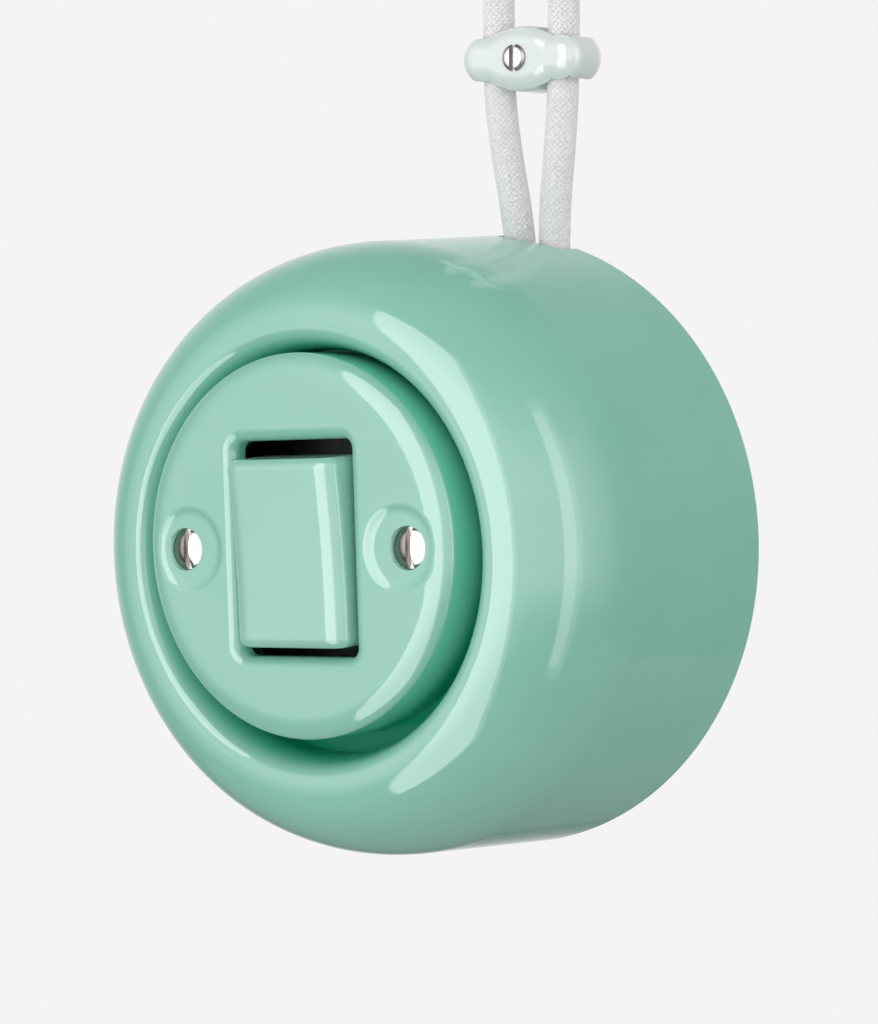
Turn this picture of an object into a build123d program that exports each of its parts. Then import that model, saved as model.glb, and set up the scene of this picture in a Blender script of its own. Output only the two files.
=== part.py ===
from build123d import *
import os
from math import asin, cos, degrees, pi, radians, sin, tan

# A round surface-mounted rocker switch in glazed porcelain, with two textile cables and their cleat.
# Millimetres. The back lies on the wall at y = 0, the front faces -Y and +Z is up.
# A depth is a distance from the wall towards the front, so a depth of 10 is y = -10.

# Housing: a turned shell with a rolled lip round the front recess
housing_radius = 50.0
housing_depth = 51.7
housing_wall = 5.0
side_draft = 1.45
shoulder_depth = 29.5
crest_radius = 35.7
crest_land = 1.0
recess_radius = 31.3
lip_drop = 8.8
rim_round = 0.8
ledge_drop = 9.7
ledge_thickness = 4.0
ledge_radius = 27.0

# Cable notch in the back rim
notch_offset = 10.8
notch_width = 12.8
notch_depth = 6.2
notch_corner = 2.4

# Heights of the switch mechanism's middle and of the front insert's middle above the housing's axis
mechanism_lift = 1.0
insert_lift = 1.3

# Front insert: a cap that seats on the ledge, high in the recess by its lift
insert_gap = 1.6
insert_proud = 3.05
insert_thickness = 3.2
insert_wall = 3.4
insert_edge_across = 4.1
insert_edge_drop = 2.0
opening_width = 22.7
opening_height = 33.2
opening_corner = 1.6
opening_edge_round = 2.0

# Cover screws in their dimples
cover_screw_spacing = 43.8
cover_screw_diameter = 3.5
cover_head_diameter = 6.3
cover_head_edge = 0.7
cover_head_rise = 0.9
cover_slot_width = 1.0
cover_slot_depth = 1.0
cover_screw_inset = 1.0
dimple_inset = 1.2
dimple_radius = 7.5
dimple_bend = 3.3
dimple_slope = 22.0
dimple_break = 0.1
dimple_rim_round = 1.8
pad_radius = 6.0
pad_thickness = 5.0
seat_depth = 2.1
head_clearance = 0.2
shank_clearance = 0.3

# Rocker on two pins, at rest with its top out
rocker_tilt = 3.5
rocker_width = 21.4
rocker_height = 29.0
rocker_proud = 2.95
rocker_dish = 0.5
rocker_edge_across = 3.4
rocker_edge_drop = 2.3
rocker_end_round = 1.5
rocker_wall = 2.4
rocker_skirt_ahead = 3.5
rocker_lobe_radius = 3.4
pivot_lead = 7.0
pin_diameter = 3.0
pin_recess = 0.3
pin_clearance = 0.05

# Sprung plunger in the rocker's stem
stem_diameter = 6.8
stem_reach = 11.0
stem_bore_end = 8.5
plunger_diameter = 4.0
plunger_clearance = 0.08
plunger_head_ahead = -3.0
plunger_pocket_depth = 6.0
spring_diameter = 2.8
spring_wire = 0.4
spring_pitch = 1.1
spring_play = 0.6
tip_gap = 0.3

# Mounting frame: a steel disc with two tapped bosses
frame_radius = 25.6
frame_thickness = 1.5
frame_window_width = 20.0
frame_window_height = 13.0
boss_diameter = 7.0
boss_height = 4.5

# Insulating mechanism block
block_width = 34.0
block_height = 33.0
block_depth = 23.0
block_round = 1.5
ear_inner = 5.6
ear_thickness = 2.2
ear_radius = 3.2
well_width = 11.2
well_height = 25.0
well_depth = 16.0

# Contacts
contact_tilt = 4.0
contact_stand = 5.5
contact_pin_diameter = 1.5
contact_boss_radius = 1.5
contact_width = 6.0
contact_length = 21.0
contact_thickness = 1.0
contact_lead = 0.6
contact_reach = 8.5
tip_diameter = 3.0
tip_height = 1.4
contact_gap = 0.1
strip_thickness = 0.8
strip_width = 5.0
saddle_width = 8.8
saddle_height = 5.0
saddle_ear = 1.0
part_clearance = 0.1

# Terminals in pockets at the block's sides
terminal_width = 6.5
terminal_height = 7.0
terminal_depth = 7.0
terminal_inset = 0.5
terminal_screw_diameter = 3.0
terminal_head_diameter = 4.6
terminal_head_height = 2.2
terminal_slot_width = 0.7
terminal_slot_depth = 0.9

# Machine screws inside
machine_screw_diameter = 3.0
machine_head_diameter = 5.4
machine_head_height = 1.8
machine_slot_width = 0.8
machine_slot_depth = 1.0
mechanism_screw_x = 13.6
mechanism_screw_z = 13.0
mechanism_screw_length = 7.0
frame_screw_length = 9.0

# Base plate and its pillars
plate_gap = 1.5
plate_thickness = 4.0
plate_edge_round = 0.6
pillar_spacing = 43.0
pillar_diameter = 7.0
pillar_screw_length = 9.0
countersunk_head_diameter = 6.0
wall_hole_spacing = 60.0
wall_hole_diameter = 4.5
wall_hole_sink = 8.4
plate_notch_width = 14.6
plate_notch_margin = 3.5

# Cables: the routes run up the wall from the grip, through the notch and the cleat
cable_diameter = 5.2
cable_depth = 2.9
cable_clearance = 0.25
cable_left_inside = 8.1
cable_left_outside = [(8.3, 46.5), (4.3, 69.0), (4.6, 84.0), (5.2, 97.0)]
cable_right_inside = 14.6
cable_right_outside = [(13.6, 46.5), (16.9, 69.5), (17.5, 84.0), (18.3, 96.5)]
cable_tail = 2.5
bend_share = 0.45
conductor_diameter = 1.8
conductor_length = 8.0

# Insulated cores inside the housing
wire_diameter = 2.4
wire_bend = 3.5
wire_drop = 9.5
wire_rise = 1.0
wire_left_turn = (8.0, 15.0)
wire_left_cross = (-10.0, 5.0)
wire_right_turn = (16.0, 14.5)

# Cable grip: a bar across both cables, screwed to the base plate
grip_offset = 11.3
grip_inset = 10.0
grip_length = 25.6
grip_width = 5.6
grip_bar = 2.6
grip_screw_spacing = 20.0
grip_screw_diameter = 2.6
grip_head_diameter = 4.6
grip_head_height = 1.6
grip_screw_length = 7.2

# Cleat on the wall
cleat_offset = 10.9
cleat_height = 77.8
cleat_tilt = 3.0
cleat_length = 23.3
cleat_lobe = 7.6
cleat_waist_length = 18.0
cleat_waist = 10.6
cleat_depth = 7.6
cleat_round = 3.0
cleat_groove = 6.6
cleat_groove_depth = 5.9
cleat_screw_diameter = 3.0
cleat_head_diameter = 4.4
cleat_head_sink = 0.9
cleat_slot_width = 0.8
cleat_slot_depth = 0.8
cleat_screw_back = 0.5

# Worked out from the values above
shoulder_radius = housing_radius - side_draft
lip_floor_depth = housing_depth - lip_drop
lip_radius = crest_radius - crest_land
ledge_depth = housing_depth - ledge_drop
cavity_radius = housing_radius - housing_wall
cavity_shoulder_radius = shoulder_radius - housing_wall
cavity_front_radius = recess_radius + housing_wall
frame_back_depth = ledge_depth - ledge_thickness
frame_front_depth = frame_back_depth + frame_thickness
insert_radius = recess_radius - insert_gap
insert_face_depth = housing_depth + insert_proud
insert_back_depth = insert_face_depth - insert_thickness
pad_back_depth = insert_face_depth - pad_thickness
screw_x = cover_screw_spacing / 2
dimple_x = screw_x - dimple_inset
cover_seat_depth = insert_face_depth - seat_depth
cover_screw_end_depth = frame_back_depth + cover_screw_inset
pivot_depth = frame_back_depth + pivot_lead
rocker_front_ahead = insert_face_depth + rocker_proud - pivot_depth
rocker_middle_ahead = rocker_front_ahead - rocker_dish
rocker_ceiling_ahead = rocker_middle_ahead - rocker_wall
block_back_depth = frame_back_depth - block_depth
well_floor_depth = frame_back_depth - well_depth
contact_pivot_depth = well_floor_depth + contact_stand
contact_front_ahead = contact_lead + contact_thickness
plunger_tip_ahead = contact_pivot_depth + contact_front_ahead + tip_gap - pivot_depth
strip_front_depth = well_floor_depth + strip_thickness
moving_tip_drop = contact_reach * sin(radians(contact_tilt))
moving_tip_back = (tip_height - contact_lead) * cos(radians(contact_tilt))
fixed_tip_depth = contact_pivot_depth - moving_tip_back - moving_tip_drop - contact_gap
terminal_x = block_width / 2 - terminal_inset - terminal_width / 2
terminal_screw_reach = (terminal_depth - conductor_diameter) / 2 - part_clearance
pillar_z = pillar_spacing / 2
plate_radius = cavity_radius - plate_gap
grip_height = plate_radius - grip_inset
plate_grip_z = grip_height - mechanism_lift
cable_end_height = grip_height - cable_tail
plate_notch_floor = cable_end_height - wire_drop - plate_notch_margin
cable_left_points = [(cable_left_inside, cable_end_height), *cable_left_outside]
cable_right_points = [(cable_right_inside, cable_end_height), *cable_right_outside]
wire_lane_depth = (plate_thickness + block_back_depth) / 2


def facing(depth, height=mechanism_lift, tilt=0.0, ahead=0.0):
    """A plane facing the front, tipped top-out by tilt degrees about (depth, height), then moved ahead."""
    forward = Vector(0, -cos(radians(tilt)), -sin(radians(tilt)))
    return Plane(origin=Vector(0, -depth, height) + forward * ahead, x_dir=(1, 0, 0), z_dir=forward)


def sideways(depth, height=mechanism_lift, tilt=0.0, right=0.0):
    """A plane across X whose first axis runs forward and second up, tipped as facing() is."""
    forward = (0, -cos(radians(tilt)), -sin(radians(tilt)))
    return Plane(origin=(right, -depth, height), x_dir=forward, z_dir=(-1, 0, 0))


def level(depth, height=mechanism_lift, tilt=0.0):
    """A plane whose first axis runs right and second forward, tipped as facing() is."""
    downward = (0, sin(radians(tilt)), -cos(radians(tilt)))
    return Plane(origin=(0, -depth, height), x_dir=(1, 0, 0), z_dir=downward)


def save(part, name):
    """Label a finished piece and write it to its own file."""
    part.label = name
    export_step(part, "parts/" + name + ".step")


def corner_radii(points):
    """The radius at each inner corner of a route, its bend taking bend_share of the shorter run."""
    radii = []
    for before, corner, after in zip(points, points[1:], points[2:]):
        arriving = Vector(*corner) - Vector(*before)
        leaving = Vector(*after) - Vector(*corner)
        shorter = min(arriving.length, leaving.length)
        radii.append(bend_share * shorter / tan(radians(arriving.get_angle(leaving) / 2)))
    return radii


def cable_route(points):
    """A cable's route along the wall, as points in space."""
    return [(x, -cable_depth, z) for x, z in points]


os.makedirs("parts", exist_ok=True)

# The glazed shell: draughted side, elliptical shoulder, rolled lip, recess with a ledge, hollow back
with BuildPart() as housing:
    with BuildSketch(Plane.XY) as housing_section:
        with BuildLine():
            Line((housing_radius, 0), (shoulder_radius, -shoulder_depth))
            EllipticalCenterArc(
                (crest_radius, -shoulder_depth),
                shoulder_radius - crest_radius,
                housing_depth - shoulder_depth,
                start_angle=270,
                arc_size=90,
            )
            Line((crest_radius, -housing_depth), (lip_radius, -housing_depth))
            EllipticalCenterArc(
                (lip_radius, -lip_floor_depth),
                lip_radius - recess_radius,
                lip_drop,
                start_angle=180,
                arc_size=90,
            )
            Polyline(
                (recess_radius, -lip_floor_depth),
                (recess_radius, -ledge_depth),
                (ledge_radius, -ledge_depth),
                (ledge_radius, -frame_back_depth),
                (cavity_front_radius, -frame_back_depth),
                (cavity_shoulder_radius, -shoulder_depth),
                (cavity_radius, 0),
                (housing_radius, 0),
            )
        make_face()
        fillet(housing_section.vertices().group_by(Axis.Y)[-1], rim_round)
    revolve(axis=Axis.Y)
    with BuildSketch(Plane.XY.offset(cavity_radius / 2)):
        with Locations((notch_offset, 0)):
            RectangleRounded(notch_width, 2 * notch_depth, notch_corner)
    extrude(amount=housing_radius, mode=Mode.SUBTRACT)
save(housing.part, "housing")

# The glazed cap: opening for the rocker, two soft dimples a little inside the screws, pads with the seats
screw_places = [(-screw_x, 0), (screw_x, 0)]
insert_edge_depth = insert_face_depth - insert_edge_drop
insert_bore_radius = insert_radius - insert_wall
dimple_floor_radius = dimple_radius - 2 * dimple_bend * sin(radians(dimple_slope))
dimple_floor = 2 * dimple_bend * (1 - cos(radians(dimple_slope)))
with BuildPart() as front_insert:
    with BuildSketch(Plane.XY.offset(insert_lift)):
        with BuildLine():
            EllipticalCenterArc(
                (insert_radius - insert_edge_across, -insert_edge_depth),
                insert_edge_across,
                insert_edge_drop,
                start_angle=270,
                arc_size=90,
            )
            Polyline(
                (insert_radius, -insert_edge_depth),
                (insert_radius, -ledge_depth),
                (insert_bore_radius, -ledge_depth),
                (insert_bore_radius, -insert_back_depth),
                (0, -insert_back_depth),
                (0, -insert_face_depth),
                (insert_radius - insert_edge_across, -insert_face_depth),
            )
        make_face()
    revolve(axis=Axis((0, 0, insert_lift), (0, 1, 0)))
    with BuildSketch(facing(insert_back_depth)):
        RectangleRounded(opening_width, opening_height, opening_corner)
    extrude(amount=insert_thickness, mode=Mode.SUBTRACT)
    fillet(front_insert.faces().sort_by(Axis.Y)[0].inner_wires().edges(), opening_edge_round)
    for right in (-dimple_x, dimple_x):
        with BuildSketch(sideways(insert_face_depth + dimple_break, right=right)):
            with BuildLine():
                CenterArc((-dimple_bend, dimple_radius), dimple_bend, -dimple_slope, dimple_slope)
                CenterArc(
                    (dimple_bend - dimple_floor, dimple_floor_radius),
                    dimple_bend,
                    180 - dimple_slope,
                    dimple_slope,
                )
                Polyline(
                    (0, dimple_radius),
                    (dimple_bend, dimple_radius),
                    (dimple_bend, 0),
                    (-dimple_floor, 0),
                    (-dimple_floor, dimple_floor_radius),
                )
            make_face()
        revolve(axis=Axis((right, 0, mechanism_lift), (0, 1, 0)), mode=Mode.SUBTRACT)
        front_reach = insert_face_depth - dimple_break
        cut_edges = front_insert.edges(Select.LAST)
        fillet([edge for edge in cut_edges if -edge.bounding_box().min.Y > front_reach], dimple_rim_round)
    with BuildSketch(facing(pad_back_depth)):
        with Locations(*screw_places):
            Circle(pad_radius)
    extrude(amount=insert_back_depth - pad_back_depth)
    with BuildSketch(facing(cover_seat_depth)):
        with Locations(*screw_places):
            Circle(cover_head_diameter / 2 + head_clearance)
    extrude(amount=seat_depth, mode=Mode.SUBTRACT)
    with BuildSketch(facing(pad_back_depth)):
        with Locations(*screw_places):
            Circle(cover_screw_diameter / 2 + shank_clearance)
    extrude(amount=pad_thickness, mode=Mode.SUBTRACT)
save(front_insert.part, "front_insert")

# Slotted domed heads on plain shanks, slots upright
cover_head_radius = cover_head_diameter / 2
cover_head_front = cover_head_edge + cover_head_rise
dome_radius = (cover_head_radius**2 + cover_head_rise**2) / (2 * cover_head_rise)
with BuildPart() as cover_screws:
    with BuildSketch(facing(cover_screw_end_depth)):
        with Locations(*screw_places):
            Circle(cover_screw_diameter / 2)
    extrude(amount=cover_seat_depth - cover_screw_end_depth)
    for right, up in screw_places:
        with BuildSketch(sideways(cover_seat_depth, right=right)):
            with BuildLine():
                CenterArc(
                    (cover_head_front - dome_radius, 0),
                    dome_radius,
                    0,
                    degrees(asin(cover_head_radius / dome_radius)),
                )
                Polyline(
                    (cover_head_edge, cover_head_radius),
                    (0, cover_head_radius),
                    (0, 0),
                    (cover_head_front, 0),
                )
            make_face()
        revolve(axis=Axis((right, 0, mechanism_lift + up), (0, 1, 0)))
    with BuildSketch(facing(cover_seat_depth, ahead=cover_head_front)):
        with Locations(*screw_places):
            Rectangle(cover_slot_width, cover_head_diameter)
    extrude(amount=-cover_slot_depth, mode=Mode.SUBTRACT)
save(cover_screws.part, "cover_screws")

# The rocker: a dished face, softened sides, hollow back, two pivot lobes and the plunger's stem
rocker_half = rocker_width / 2
rocker_flat_half = rocker_half - rocker_edge_across
rocker_edge_ahead = rocker_middle_ahead - rocker_edge_drop
dish_radius = (rocker_height**2 / 4 + rocker_dish**2) / (2 * rocker_dish)
dish_centre = facing(pivot_depth, tilt=rocker_tilt, ahead=rocker_middle_ahead + dish_radius).origin
with BuildPart() as rocker:
    with BuildSketch(level(pivot_depth, tilt=rocker_tilt)):
        with BuildLine():
            EllipticalCenterArc(
                (rocker_flat_half, rocker_edge_ahead),
                rocker_edge_across,
                rocker_edge_drop,
                start_angle=0,
                arc_size=90,
            )
            Line((rocker_flat_half, rocker_middle_ahead), (-rocker_flat_half, rocker_middle_ahead))
            EllipticalCenterArc(
                (-rocker_flat_half, rocker_edge_ahead),
                rocker_edge_across,
                rocker_edge_drop,
                start_angle=90,
                arc_size=90,
            )
            Polyline(
                (-rocker_half, rocker_edge_ahead),
                (-rocker_half, rocker_skirt_ahead - rocker_dish),
                (rocker_half, rocker_skirt_ahead - rocker_dish),
                (rocker_half, rocker_edge_ahead),
            )
        make_face()
    revolve(axis=Axis(dish_centre, (1, 0, 0)))
    with BuildSketch(facing(pivot_depth, tilt=rocker_tilt, ahead=rocker_skirt_ahead)):
        Rectangle(rocker_width, rocker_height)
    extrude(amount=rocker_front_ahead - rocker_skirt_ahead, mode=Mode.INTERSECT)
    ends = rocker.faces().sort_by(Axis.Z)
    skirt_edges = rocker.faces().sort_by(Axis.Y)[-1].edges()
    end_edges = ends[0].edges() + ends[-1].edges()
    fillet([edge for edge in end_edges if edge not in skirt_edges], rocker_end_round)
    with BuildSketch(facing(pivot_depth, tilt=rocker_tilt, ahead=rocker_skirt_ahead)):
        Rectangle(rocker_width - 2 * rocker_wall, rocker_height - 2 * rocker_wall)
    extrude(amount=rocker_ceiling_ahead - rocker_skirt_ahead, mode=Mode.SUBTRACT)
    for right in (rocker_half, rocker_wall - rocker_half):
        with BuildSketch(sideways(pivot_depth, tilt=rocker_tilt, right=right)):
            Circle(rocker_lobe_radius)
            with Locations((rocker_skirt_ahead / 2, 0)):
                Rectangle(rocker_skirt_ahead, 2 * rocker_lobe_radius)
            Circle(pin_diameter / 2, mode=Mode.SUBTRACT)
        extrude(amount=rocker_wall)
    with BuildSketch(facing(pivot_depth, tilt=rocker_tilt, ahead=-stem_reach)):
        Circle(stem_diameter / 2)
    extrude(amount=stem_reach + rocker_ceiling_ahead)
    with BuildSketch(facing(pivot_depth, tilt=rocker_tilt, ahead=-stem_reach)):
        Circle(plunger_diameter / 2 + plunger_clearance)
    extrude(amount=stem_reach + stem_bore_end, mode=Mode.SUBTRACT)
save(rocker.part, "rocker")

# Two short pins, fast in the rocker's lobes and turning in the block's ears
pin_length = rocker_half - pin_recess - ear_inner
with BuildPart() as rocker_pins:
    for right in (rocker_half - pin_recess, -ear_inner):
        with BuildSketch(sideways(pivot_depth, right=right)):
            Circle(pin_diameter / 2)
        extrude(amount=pin_length)
save(rocker_pins.part, "rocker_pins")

# The plunger: a round-ended rod with a pocket for its spring
with BuildPart() as plunger:
    with BuildSketch(facing(pivot_depth, tilt=rocker_tilt, ahead=plunger_tip_ahead)):
        Circle(plunger_diameter / 2)
    extrude(amount=plunger_head_ahead - plunger_tip_ahead)
    fillet(plunger.faces().sort_by(Axis.Y)[-1].edges(), plunger_diameter / 2 - spring_wire)
    with BuildSketch(facing(pivot_depth, tilt=rocker_tilt, ahead=plunger_head_ahead)):
        Circle(spring_diameter / 2 + plunger_clearance)
    extrude(amount=-plunger_pocket_depth, mode=Mode.SUBTRACT)
save(plunger.part, "plunger")

# The plunger's spring, from the pocket to the end of the stem's bore
spring_start = plunger_head_ahead - plunger_pocket_depth + spring_play + spring_wire / 2
spring_length = stem_bore_end - spring_start - spring_wire / 2
spring_coil_radius = (spring_diameter - spring_wire) / 2
with BuildPart() as plunger_spring:
    with BuildLine() as coil:
        Helix(spring_pitch, spring_length, spring_coil_radius)
    with BuildSketch(Plane(origin=coil.line @ 0, z_dir=coil.line % 0)):
        Circle(spring_wire / 2)
    sweep(path=coil.line, is_frenet=True)
spring_place = facing(pivot_depth, tilt=rocker_tilt, ahead=spring_start)
plunger_spring.part = spring_place.location * plunger_spring.part
save(plunger_spring.part, "plunger_spring")

# The steel disc: window for the ears and stem, drawn bosses for the cover screws, screw holes
pillar_places = [(0, -pillar_z), (0, pillar_z)]
mechanism_places = [(-mechanism_screw_x, mechanism_screw_z), (mechanism_screw_x, -mechanism_screw_z)]
with BuildPart() as mounting_frame:
    with BuildSketch(facing(frame_back_depth)):
        Circle(frame_radius)
        Rectangle(frame_window_width, frame_window_height, mode=Mode.SUBTRACT)
    extrude(amount=frame_thickness)
    with BuildSketch(facing(frame_front_depth)):
        with Locations(*screw_places):
            Circle(boss_diameter / 2)
    extrude(amount=boss_height)
    with BuildSketch(facing(frame_back_depth)):
        with Locations(*screw_places):
            Circle(cover_screw_diameter / 2)
        with Locations(*pillar_places, *mechanism_places):
            Circle(machine_screw_diameter / 2)
    extrude(amount=frame_thickness + boss_height, mode=Mode.SUBTRACT)
save(mounting_frame.part, "mounting_frame")


def pan_screws(places, seat, length):
    """Slotted pan-head screws with their heads on the plane at depth seat."""
    with BuildPart() as screws:
        with BuildSketch(facing(seat - length)):
            with Locations(*places):
                Circle(machine_screw_diameter / 2)
        extrude(amount=length)
        with BuildSketch(facing(seat)):
            with Locations(*places):
                Circle(machine_head_diameter / 2)
        extrude(amount=machine_head_height)
        fillet(screws.faces().group_by(Axis.Y)[0].edges(), machine_head_height - machine_slot_depth)
        with BuildSketch(facing(seat + machine_head_height)):
            with Locations(*places):
                Rectangle(machine_slot_width, machine_head_diameter)
        extrude(amount=-machine_slot_depth, mode=Mode.SUBTRACT)
    return screws.part


save(pan_screws(pillar_places, frame_front_depth, frame_screw_length), "frame_screws")
save(pan_screws(mechanism_places, frame_front_depth, mechanism_screw_length), "mechanism_screws")

# The insulating block: ears, contact well, strip slots, terminal pockets and blind screw holes
terminal_places = [(-1, 0.0), (1, contact_reach), (1, -contact_reach)]
pocket_depth = frame_back_depth - well_floor_depth
pocket_width = terminal_width + terminal_inset + part_clearance
pocket_height = terminal_height + 2 * part_clearance
with BuildPart() as mechanism_block:
    with BuildSketch(facing(block_back_depth)):
        RectangleRounded(block_width, block_height, block_round)
    extrude(amount=frame_back_depth - block_back_depth)
    for right in (ear_inner + ear_thickness, -ear_inner):
        with BuildSketch(sideways(pivot_depth, right=right)):
            Circle(ear_radius)
            with Locations(((frame_back_depth - pivot_depth) / 2, 0)):
                Rectangle(pivot_depth - frame_back_depth, 2 * ear_radius)
            Circle(pin_diameter / 2 + pin_clearance, mode=Mode.SUBTRACT)
        extrude(amount=ear_thickness)
    with BuildSketch(facing(well_floor_depth)):
        Rectangle(well_width, well_height)
        for side, up in terminal_places:
            with Locations((side * (terminal_x + terminal_inset / 2), up)):
                Rectangle(pocket_width, pocket_height)
    extrude(amount=pocket_depth, mode=Mode.SUBTRACT)
    with BuildSketch(facing(well_floor_depth)):
        for side, up in terminal_places:
            with Locations((side * block_width / 4, up)):
                Rectangle(block_width / 2, strip_width + 2 * part_clearance)
    extrude(amount=strip_thickness + part_clearance, mode=Mode.SUBTRACT)
    with BuildSketch(facing(frame_back_depth)):
        with Locations(*mechanism_places):
            Circle(machine_screw_diameter / 2)
    extrude(amount=frame_thickness - mechanism_screw_length, mode=Mode.SUBTRACT)
save(mechanism_block.part, "mechanism_block")

# The common contact: a strip on the well's floor, two ears for the rocking contact, a tongue to the left
with BuildPart() as common_contact:
    with BuildSketch(facing(well_floor_depth)):
        Rectangle(saddle_width, saddle_height)
        with Locations((-(terminal_x + terminal_width / 2) / 2, 0)):
            Rectangle(terminal_x + terminal_width / 2, strip_width)
    extrude(amount=strip_thickness)
    for right in (saddle_width / 2, saddle_ear - saddle_width / 2):
        with BuildSketch(sideways(contact_pivot_depth, right=right)):
            Circle(saddle_height / 2)
            with Locations(((strip_front_depth - contact_pivot_depth) / 2, 0)):
                Rectangle(contact_pivot_depth - strip_front_depth, saddle_height)
            Circle(contact_pin_diameter / 2, mode=Mode.SUBTRACT)
        extrude(amount=saddle_ear)
save(common_contact.part, "common_contact")

# The pin that the rocking contact turns on
with BuildPart() as contact_pin:
    with BuildSketch(sideways(contact_pivot_depth, right=saddle_width / 2)):
        Circle(contact_pin_diameter / 2)
    extrude(amount=saddle_width)
save(contact_pin.part, "contact_pin")

# The rocking contact: a see-saw strip on a bored boss, with a round tip behind each arm
with BuildPart() as rocking_contact:
    with BuildSketch(facing(contact_pivot_depth, tilt=-contact_tilt, ahead=contact_lead)):
        RectangleRounded(contact_width, contact_length, contact_width / 4)
    extrude(amount=contact_thickness)
    with BuildSketch(facing(contact_pivot_depth, tilt=-contact_tilt, ahead=contact_lead)):
        with Locations((0, contact_reach), (0, -contact_reach)):
            Circle(tip_diameter / 2)
    extrude(amount=-tip_height)
    with BuildSketch(sideways(contact_pivot_depth, right=contact_width / 2)):
        Circle(contact_boss_radius)
    extrude(amount=contact_width)
    with BuildSketch(sideways(contact_pivot_depth, right=contact_width / 2)):
        Circle(contact_pin_diameter / 2 + pin_clearance)
    extrude(amount=contact_width, mode=Mode.SUBTRACT)
save(rocking_contact.part, "rocking_contact")


def fixed_contact(up):
    """A contact strip at height up with a round tip, reaching right to its terminal."""
    reach = terminal_x + terminal_width / 2
    with BuildPart() as contact:
        with BuildSketch(facing(well_floor_depth)):
            with Locations(((reach - contact_width / 2) / 2, up)):
                Rectangle(reach + contact_width / 2, strip_width)
        extrude(amount=strip_thickness)
        with BuildSketch(facing(strip_front_depth)):
            with Locations((0, up)):
                Circle(tip_diameter / 2)
        extrude(amount=fixed_tip_depth - strip_front_depth)
    return contact.part


save(fixed_contact(contact_reach), "upper_contact")
save(fixed_contact(-contact_reach), "lower_contact")

# Brass terminal blocks on the strips, each with a wire bore from the side and a screw from the front
wire_bore_depth = strip_front_depth + terminal_depth / 2
with BuildPart() as terminals:
    with BuildSketch(facing(strip_front_depth)):
        for side, up in terminal_places:
            with Locations((side * terminal_x, up)):
                Rectangle(terminal_width, terminal_height)
    extrude(amount=terminal_depth)
    for side, up in terminal_places:
        with BuildSketch(sideways(wire_bore_depth, height=mechanism_lift + up)):
            Circle(conductor_diameter / 2)
        extrude(amount=-side * block_width, mode=Mode.SUBTRACT)
    with BuildSketch(facing(wire_bore_depth)):
        for side, up in terminal_places:
            with Locations((side * terminal_x, up)):
                Circle(terminal_screw_diameter / 2)
    extrude(amount=terminal_depth, mode=Mode.SUBTRACT)
save(terminals.part, "terminals")

terminal_front_depth = strip_front_depth + terminal_depth
with BuildPart() as terminal_screws:
    with BuildSketch(facing(terminal_front_depth - terminal_screw_reach)):
        for side, up in terminal_places:
            with Locations((side * terminal_x, up)):
                Circle(terminal_screw_diameter / 2)
    extrude(amount=terminal_screw_reach)
    with BuildSketch(facing(terminal_front_depth)):
        for side, up in terminal_places:
            with Locations((side * terminal_x, up)):
                Circle(terminal_head_diameter / 2)
    extrude(amount=terminal_head_height)
    with BuildSketch(facing(terminal_front_depth + terminal_head_height)):
        for side, up in terminal_places:
            with Locations((side * terminal_x, up)):
                Rectangle(terminal_slot_width, terminal_head_diameter)
    extrude(amount=-terminal_slot_depth, mode=Mode.SUBTRACT)
save(terminal_screws.part, "terminal_screws")

# The base plate on the wall: cable notch, wall-screw holes, pillar and grip screw holes
grip_places = [
    (grip_offset - grip_screw_spacing / 2, plate_grip_z),
    (grip_offset + grip_screw_spacing / 2, plate_grip_z),
]
sink_radius = countersunk_head_diameter / 2
sink_depth = sink_radius - machine_screw_diameter / 2
with BuildPart() as base_plate:
    with BuildSketch(facing(0, height=0)):
        Circle(plate_radius)
    extrude(amount=plate_thickness)
    fillet(base_plate.faces().sort_by(Axis.Y)[0].edges(), plate_edge_round)
    with BuildSketch(facing(0, height=0)):
        with Locations((grip_offset, plate_notch_floor + plate_radius / 2)):
            Rectangle(plate_notch_width, plate_radius)
    extrude(amount=plate_thickness, mode=Mode.SUBTRACT)
    with Locations(facing(plate_thickness, height=0)):
        with Locations((-wall_hole_spacing / 2, 0), (wall_hole_spacing / 2, 0)):
            CounterSinkHole(wall_hole_diameter / 2, wall_hole_sink / 2, plate_thickness)
    with BuildSketch(facing(0)):
        with Locations(*pillar_places):
            Circle(machine_screw_diameter / 2)
        with Locations(*grip_places):
            Circle(grip_screw_diameter / 2)
    extrude(amount=plate_thickness, mode=Mode.SUBTRACT)
    for x, z in pillar_places:
        with Locations(facing(sink_depth / 2)):
            with Locations((x, z)):
                Cone(sink_radius, machine_screw_diameter / 2, sink_depth, mode=Mode.SUBTRACT)
save(base_plate.part, "base_plate")

# Brass pillars between the plate and the frame, tapped at both ends
with BuildPart() as pillars:
    with BuildSketch(facing(plate_thickness)):
        with Locations(*pillar_places):
            RegularPolygon(pillar_diameter / 2, 6)
    extrude(amount=frame_back_depth - plate_thickness)
    with BuildSketch(facing(plate_thickness)):
        with Locations(*pillar_places):
            Circle(machine_screw_diameter / 2)
    extrude(amount=pillar_screw_length - plate_thickness, mode=Mode.SUBTRACT)
    with BuildSketch(facing(frame_back_depth)):
        with Locations(*pillar_places):
            Circle(machine_screw_diameter / 2)
    extrude(amount=frame_thickness - frame_screw_length, mode=Mode.SUBTRACT)
save(pillars.part, "pillars")

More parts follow.
